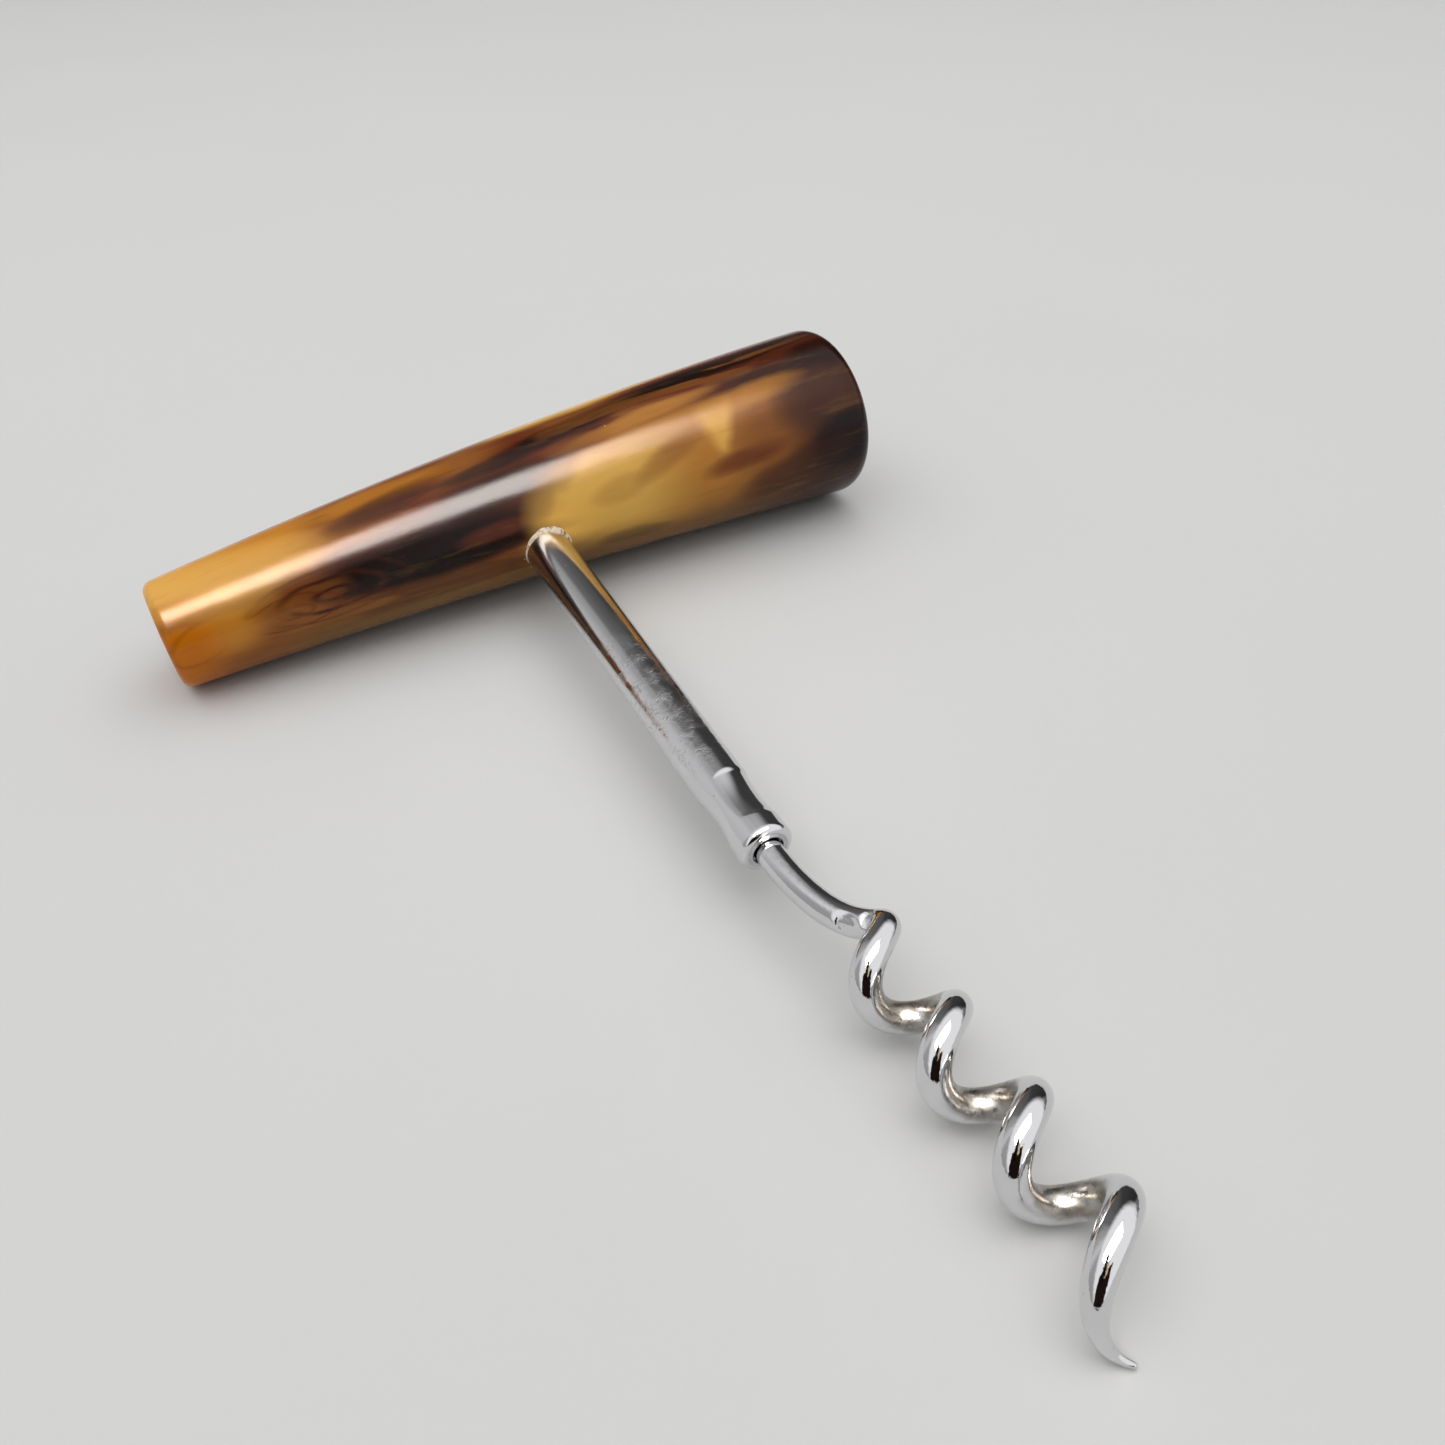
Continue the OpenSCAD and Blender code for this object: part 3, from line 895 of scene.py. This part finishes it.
def wire_plating(settings, path):
    """Bright plating on the wire, dull where the turns face inwards and darkened there by painted
    shade.
    """
    shader = Shader("plated_wire")
    top = LAY @ path.top
    way = LAY.to_3x3() @ COIL_DIR
    centred = shader.vector("SUBTRACT", shader.place, tuple(top))
    along = shader.dot(centred, way)
    on_axis = shader.value(
        "ShaderNodeVectorMath", {"operation": "SCALE"}, {0: tuple(way), "Scale": along})
    off_axis = shader.vector("SUBTRACT", centred, on_axis)
    from_axis = shader.vector("LENGTH", off_axis, output="Value")
    grain = shader.noise(shader.place, 900, 4, 0.6, 0.4)
    blotch = shader.noise(shader.place, 330, 3, 0.55)
    edge = from_axis + (grain - 0.5) * 0.0012 + (blotch - 0.5) * 0.0014
    inner = edge.step(0.0034, 0.0024) * along.step(-0.003, 0.001)
    lines = shader.noise(shader.vector("MULTIPLY", shader.place, (1, 0.3, 0.5)), 3600, 2, 0.6)
    pits = shader.specks(1100, (0.15, 0.04), 300, 2, (0.56, 0.68))
    # The darker colour inside the turns is painted shade; the pits on the next line take the same
    # colour as real stains.
    tone = shader.mix(inner * (0.6 + blotch.step(0.3, 0.6) * 0.35), settings.plating, settings.shade_and_stain)
    tone = shader.mix(pits * 0.5, tone, settings.shade_and_stain)
    rough = 0.05 + inner * 0.2 + inner * grain.step(0.4, 0.7) * 0.14 + pits * 0.15
    rough = rough + blotch.step(0.5, 0.8) * 0.04
    normal = shader.bump(lines, 0.22, 0.00005)
    normal = shader.bump(grain * inner, 0.5, 0.00008, normal)
    normal = shader.bump(blotch - pits * 0.5, 0.10, 0.00006, normal)
    return shader.surface(
        Base_Color=tone, Metallic=1.0, Roughness=rough, Normal=normal)


class CORKSCREW_OT_add_worm(bpy.types.Operator):
    """Adds the wire worm with its stem, turns, jaw marks and ground point"""
    bl_idname = "corkscrew.add_worm"
    bl_label = "Add Worm"

    def execute(self, context):
        settings = context.scene.corkscrew_worm
        path = WormPath(settings, context.scene.corkscrew_shank.reach)
        rings = worm_rings(settings, path.points())
        piece = loft("worm_wire", rings, wire_plating(settings, path))
        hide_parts("worm")
        return {"FINISHED"}


# ---------------------------------------------------------------- cement

def on_handle_side(handle, x, z):
    """The point of the handle's side over a place beside the shank."""
    at = (SHANK_AT + x) / HANDLE_LEN
    off = z - bowed(handle, at)
    return Vector((x, -math.sqrt(max(0, side_radius(handle, at) ** 2 - off * off)), z))


def cement_bead(settings, handle, shank_r):
    """A lumpy ring of cement where the shank leaves the handle."""
    sides, steps = 120, 12
    into_shank, into_handle = 0.08 * MM, 0.05 * MM
    least_width, least_height = 0.15 * MM, 0.05 * MM
    rings = []
    for i in range(steps + 1):
        t = i / steps
        ring = []
        for j in range(sides):
            a = math.tau * j / sides
            lump = noise.noise(Vector((math.cos(a) * 1.8, math.sin(a) * 1.8, 4.0)))
            rough = noise.noise(Vector((math.cos(a) * 9, math.sin(a) * 9, t * 5)))
            heavy = 0.32 + 0.55 * max(0, math.sin(a + math.radians(20)))
            width = settings.width * (heavy + 0.35 * lump + 0.10 * rough)
            height = settings.height * (heavy + 0.45 * lump + 0.14 * rough)
            reach = shank_r - into_shank + max(least_width, width) * t
            base = on_handle_side(handle, reach * math.cos(a), reach * math.sin(a))
            climb = max(least_height, height) * math.sqrt(max(0, 1 - t ** 1.6)) - into_handle * t
            shank_shift = -base.y * SHANK_DIR.x
            ring.append(base + Vector((shank_shift, -climb, 0)))
        rings.append(ring)
    return rings


def add_crumbs(bm, settings, handle, shank_r):
    """Small grains of cement on and round the bead."""
    rng = random.Random(7)
    for _ in range(settings.crumbs):
        a = rng.uniform(0, math.tau)
        reach = shank_r + settings.width * rng.uniform(0.2, 1.5)
        size = rng.uniform(0.03, 0.085) * MM
        place = on_handle_side(handle, reach * math.cos(a), reach * math.sin(a))
        place += Vector((0, -settings.height * rng.uniform(0.0, 0.35), 0))
        turned = Matrix.Rotation(rng.uniform(0, math.tau), 4, "Y")
        shape = Matrix.Diagonal((1, rng.uniform(0.5, 0.8), rng.uniform(0.7, 1.3), 1))
        made = bmesh.ops.create_icosphere(bm, subdivisions=2, radius=size)
        for vert in made["verts"]:
            knobbly = 1 + 0.35 * noise.noise(vert.co / size * 1.4 + Vector((a, 0, 0)))
            vert.co = LAY @ (place + turned @ shape @ (vert.co * knobbly))


def cement_finish(settings):
    """Dull off-white cement with grime in its hollows."""
    shader = Shader("set_cement")
    cloud = shader.noise(shader.place, 1500, 4, 0.6)
    grit = shader.noise(shader.place, 6000, 3, 0.7)
    tone = shader.mix(cloud.step(0.34, 0.52), settings.grime, settings.chalk)
    tone = shader.mix(grit.step(0.55, 0.75) * 0.3, tone, settings.grime)
    normal = shader.bump(cloud + grit * 0.5, 0.5, 0.00012)
    rough = 0.62 + grit * 0.3
    return shader.surface(Base_Color=tone, Roughness=rough, Normal=normal)


class CORKSCREW_OT_add_cement(bpy.types.Operator):
    """Adds the bead of set cement round the shank"""
    bl_idname = "corkscrew.add_cement"
    bl_label = "Add Cement"

    def execute(self, context):
        scene = context.scene
        settings, handle = scene.corkscrew_cement, scene.corkscrew_handle
        shank_r = scene.corkscrew_shank.diameter / 2
        bm = bmesh.new()
        skin_rings(bm, cement_bead(settings, handle, shank_r))
        add_crumbs(bm, settings, handle, shank_r)
        piece = finish_piece("cement_bead", bm, cement_finish(settings))
        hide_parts("cement")
        return {"FINISHED"}


# ---------------------------------------------------------------- stage

def add_floor(settings):
    """A wide pale table top."""
    bm = bmesh.new()
    bmesh.ops.create_grid(bm, x_segments=2, y_segments=2, size=4)
    shader = Shader("table_top")
    cloud = shader.noise(shader.place, 9, 3)
    tone = shader.mix(cloud.step(0.3, 0.7) * 0.06, settings.floor, paint(190, 190, 188))
    matt = shader.surface(Base_Color=tone, Roughness=0.8, Specular_IOR_Level=0.0)
    floor = place_mesh("table_top", bm, matt)


def face(thing, place, target):
    """Puts a light or a board at a place, looking at a target."""
    thing.location = place
    thing.rotation_euler = (target - place).to_track_quat("-Z", "Y").to_euler()


def emit(shader, tone):
    """A plain glow of a colour, which may vary over the surface."""
    glow = shader.value("ShaderNodeEmission", sockets={"Color": full_colour(tone)})
    shader.node("ShaderNodeOutputMaterial", sockets={"Surface": glow})
    return shader.material


def add_reflection(name, bm, material):
    """A thing that only reflections show, as a studio stands round bright metal."""
    thing = place_mesh(name, bm, material)
    thing.visible_camera = False
    thing.visible_diffuse = False
    thing.visible_shadow = False
    thing.visible_transmission = False
    return thing


def flat_sheet(width, height):
    """A flat rectangle about the origin."""
    bm = bmesh.new()
    bmesh.ops.create_grid(bm, x_segments=1, y_segments=1, size=0.5)
    bmesh.ops.scale(bm, vec=(width, height, 1), verts=bm.verts)
    return bm


def ball(radius):
    """A round wall about the origin."""
    bm = bmesh.new()
    bmesh.ops.create_icosphere(bm, subdivisions=4, radius=radius)
    return bm


def add_board(name, place, target, width, height, tone):
    """A flat board, seen in reflections only."""
    board = add_reflection(name, flat_sheet(width, height), emit(Shader(name), tone))
    face(board, Vector(place), Vector(target))


def add_lamp(settings):
    """The overhead soft box as reflections show it: it fades out to the right."""
    shader = Shader("lamp_face")
    x, y, _ = shader.parts(shader.place)
    glow = x.step(0.34, 0.07) * abs(y).step(0.21, 0.14)
    bright = tuple(part * settings.lamp for part in (1.0, 0.95, 0.90))
    face_glow = emit(shader, shader.mix(glow, (0.9, 0.9, 0.9), bright))
    lamp = add_reflection("lamp_face", flat_sheet(0.76, 0.42), face_glow)
    lamp.location = (-0.03, -0.235, 0.6)


def add_dome():
    """The room as reflections show it: white above an arch, grey, dark and pale walls below."""
    shader = Shader("room_dome")
    way = shader.vector("NORMALIZE", shader.place)
    x, y, z = shader.parts(way)
    azimuth = x.maths("ARCTAN2", x, y) * (180 / math.pi)
    elevation = z.maths("ARCSINE", z) * (180 / math.pi)
    wall = shader.ramp((azimuth + 180) / 360, [
        (0.00, 0.03), (0.17, 0.03), (0.21, 0.36), (0.32, 0.40), (0.37, 0.66), (0.43, 0.40),
        (0.48, 0.16), (0.56, 0.11), (0.62, 0.05), (0.735, 0.03), (0.775, 0.60), (0.93, 0.60),
        (1.00, 0.03)])
    low = azimuth.step(80, 100) * elevation.step(22, 10)
    wall = shader.mix(low * 0.8, wall, (0.03, 0.02, 0.02))
    arch = 58 - azimuth * azimuth * 0.0042
    above = (elevation - arch).step(-10, 11)
    add_reflection("room_dome", ball(3), emit(shader, shader.mix(above, wall, (1.0, 1.0, 1.0))))


def add_backdrop(tone):
    """A pale wall all round, seen by the camera only."""
    wall = add_reflection("backdrop", ball(3.5), emit(Shader("backdrop"), tone))
    wall.visible_camera = True
    wall.visible_glossy = False


def add_soft_box(name, place, target, width, height, brightness):
    """A rectangular light whose face has the given brightness."""
    light = bpy.data.lights.new(name, "AREA")
    light.shape = "RECTANGLE"
    light.size = width
    light.size_y = height
    light.energy = brightness * math.pi * width * height
    made = bpy.data.objects.new(name, light)
    bpy.context.scene.collection.objects.link(made)
    face(made, Vector(place), Vector(target))
    made.visible_glossy = False


def add_camera(settings):
    """A camera that stands over the worm and looks across the tool."""
    data = bpy.data.cameras.new("camera")
    data.sensor_width = 36
    data.lens = settings.lens
    data.clip_start = 0.01
    camera = bpy.data.objects.new("camera", data)
    bpy.context.scene.collection.objects.link(camera)
    aim = Vector((settings.aim_right, settings.aim_back, 0))
    az, el = settings.azimuth, settings.elevation
    away = Vector((math.sin(az) * math.cos(el), -math.cos(az) * math.cos(el), math.sin(el)))
    look = (-away).to_track_quat("-Z", "Y").to_matrix()
    camera.rotation_euler = (look @ Matrix.Rotation(settings.roll, 3, "Z")).to_euler()
    camera.location = aim + away * settings.distance
    bpy.context.scene.camera = camera


class CORKSCREW_OT_add_stage(bpy.types.Operator):
    """Adds the table, the lights, the boards and the camera"""
    bl_idname = "corkscrew.add_stage"
    bl_label = "Add Stage"

    def execute(self, context):
        settings = context.scene.corkscrew_stage
        add_floor(settings)
        world = bpy.data.worlds.new("room")
        context.scene.world = world
        world.use_nodes = True
        back = world.node_tree.nodes["Background"]
        back.inputs["Color"].default_value = (1.0, 1.0, 1.0, 1)
        back.inputs["Strength"].default_value = settings.room
        add_soft_box("key_light", (0.0, 0.1, 0.8), (0.0, 0.1, 0), 1.3, 1.1, settings.key)
        add_soft_box("ceiling", (0.0, 0.4, 1.9), (0.0, 0.4, 0), 8.0, 8.0, settings.ceiling)
        middle = (0, 0, 0.01)
        add_board("dark_coat", (-0.19, -0.33, 0.12), middle, 0.36, 0.30, (0.012, 0.006, 0.005))
        add_board("dark_camera", (-0.175, -0.232, 0.254), middle, 0.10, 0.24, (0.004, 0.003, 0.003))
        add_board("warm_hand", (-0.11, -0.274, 0.233), middle, 0.05, 0.12, (0.72, 0.50, 0.30))
        add_lamp(settings)
        add_dome()
        add_backdrop((0.60, 0.60, 0.59))
        add_camera(settings)
        context.scene.view_settings.view_transform = "Standard"
        return {"FINISHED"}


# ---------------------------------------------------------------- sidebar

class CORKSCREW_PT_parts(bpy.types.Panel):
    """Lists what the add-on makes"""
    bl_label = "Corkscrew"
    bl_idname = "CORKSCREW_PT_parts"
    bl_space_type = "VIEW_3D"
    bl_region_type = "UI"
    bl_category = "Corkscrew"

    def draw(self, context):
        for operator in OPERATORS:
            self.layout.operator(operator.bl_idname)


OPERATORS = (
    CORKSCREW_OT_add_stage,
    CORKSCREW_OT_add_handle,
    CORKSCREW_OT_add_shank,
    CORKSCREW_OT_add_worm,
    CORKSCREW_OT_add_cement,
)
SETTINGS = {
    "corkscrew_handle": HandleSettings,
    "corkscrew_shank": ShankSettings,
    "corkscrew_worm": WormSettings,
    "corkscrew_cement": CementSettings,
    "corkscrew_stage": StageSettings,
}


def register():
    """Registers the settings, the operators and the panel."""
    for name, group in SETTINGS.items():
        bpy.utils.register_class(group)
        setattr(bpy.types.Scene, name, bpy.props.PointerProperty(type=group))
    for operator in OPERATORS:
        bpy.utils.register_class(operator)
    bpy.utils.register_class(CORKSCREW_PT_parts)


def unregister():
    """Takes away what register added."""
    bpy.utils.unregister_class(CORKSCREW_PT_parts)
    for operator in reversed(OPERATORS):
        bpy.utils.unregister_class(operator)
    for name, group in reversed(SETTINGS.items()):
        delattr(bpy.types.Scene, name)
        bpy.utils.unregister_class(group)


def main():
    """Builds every piece and the stage."""
    register()
    for operator in OPERATORS:
        group, name = operator.bl_idname.split(".")
        getattr(getattr(bpy.ops, group), name)()
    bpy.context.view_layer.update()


if __name__ == "__main__":
    main()
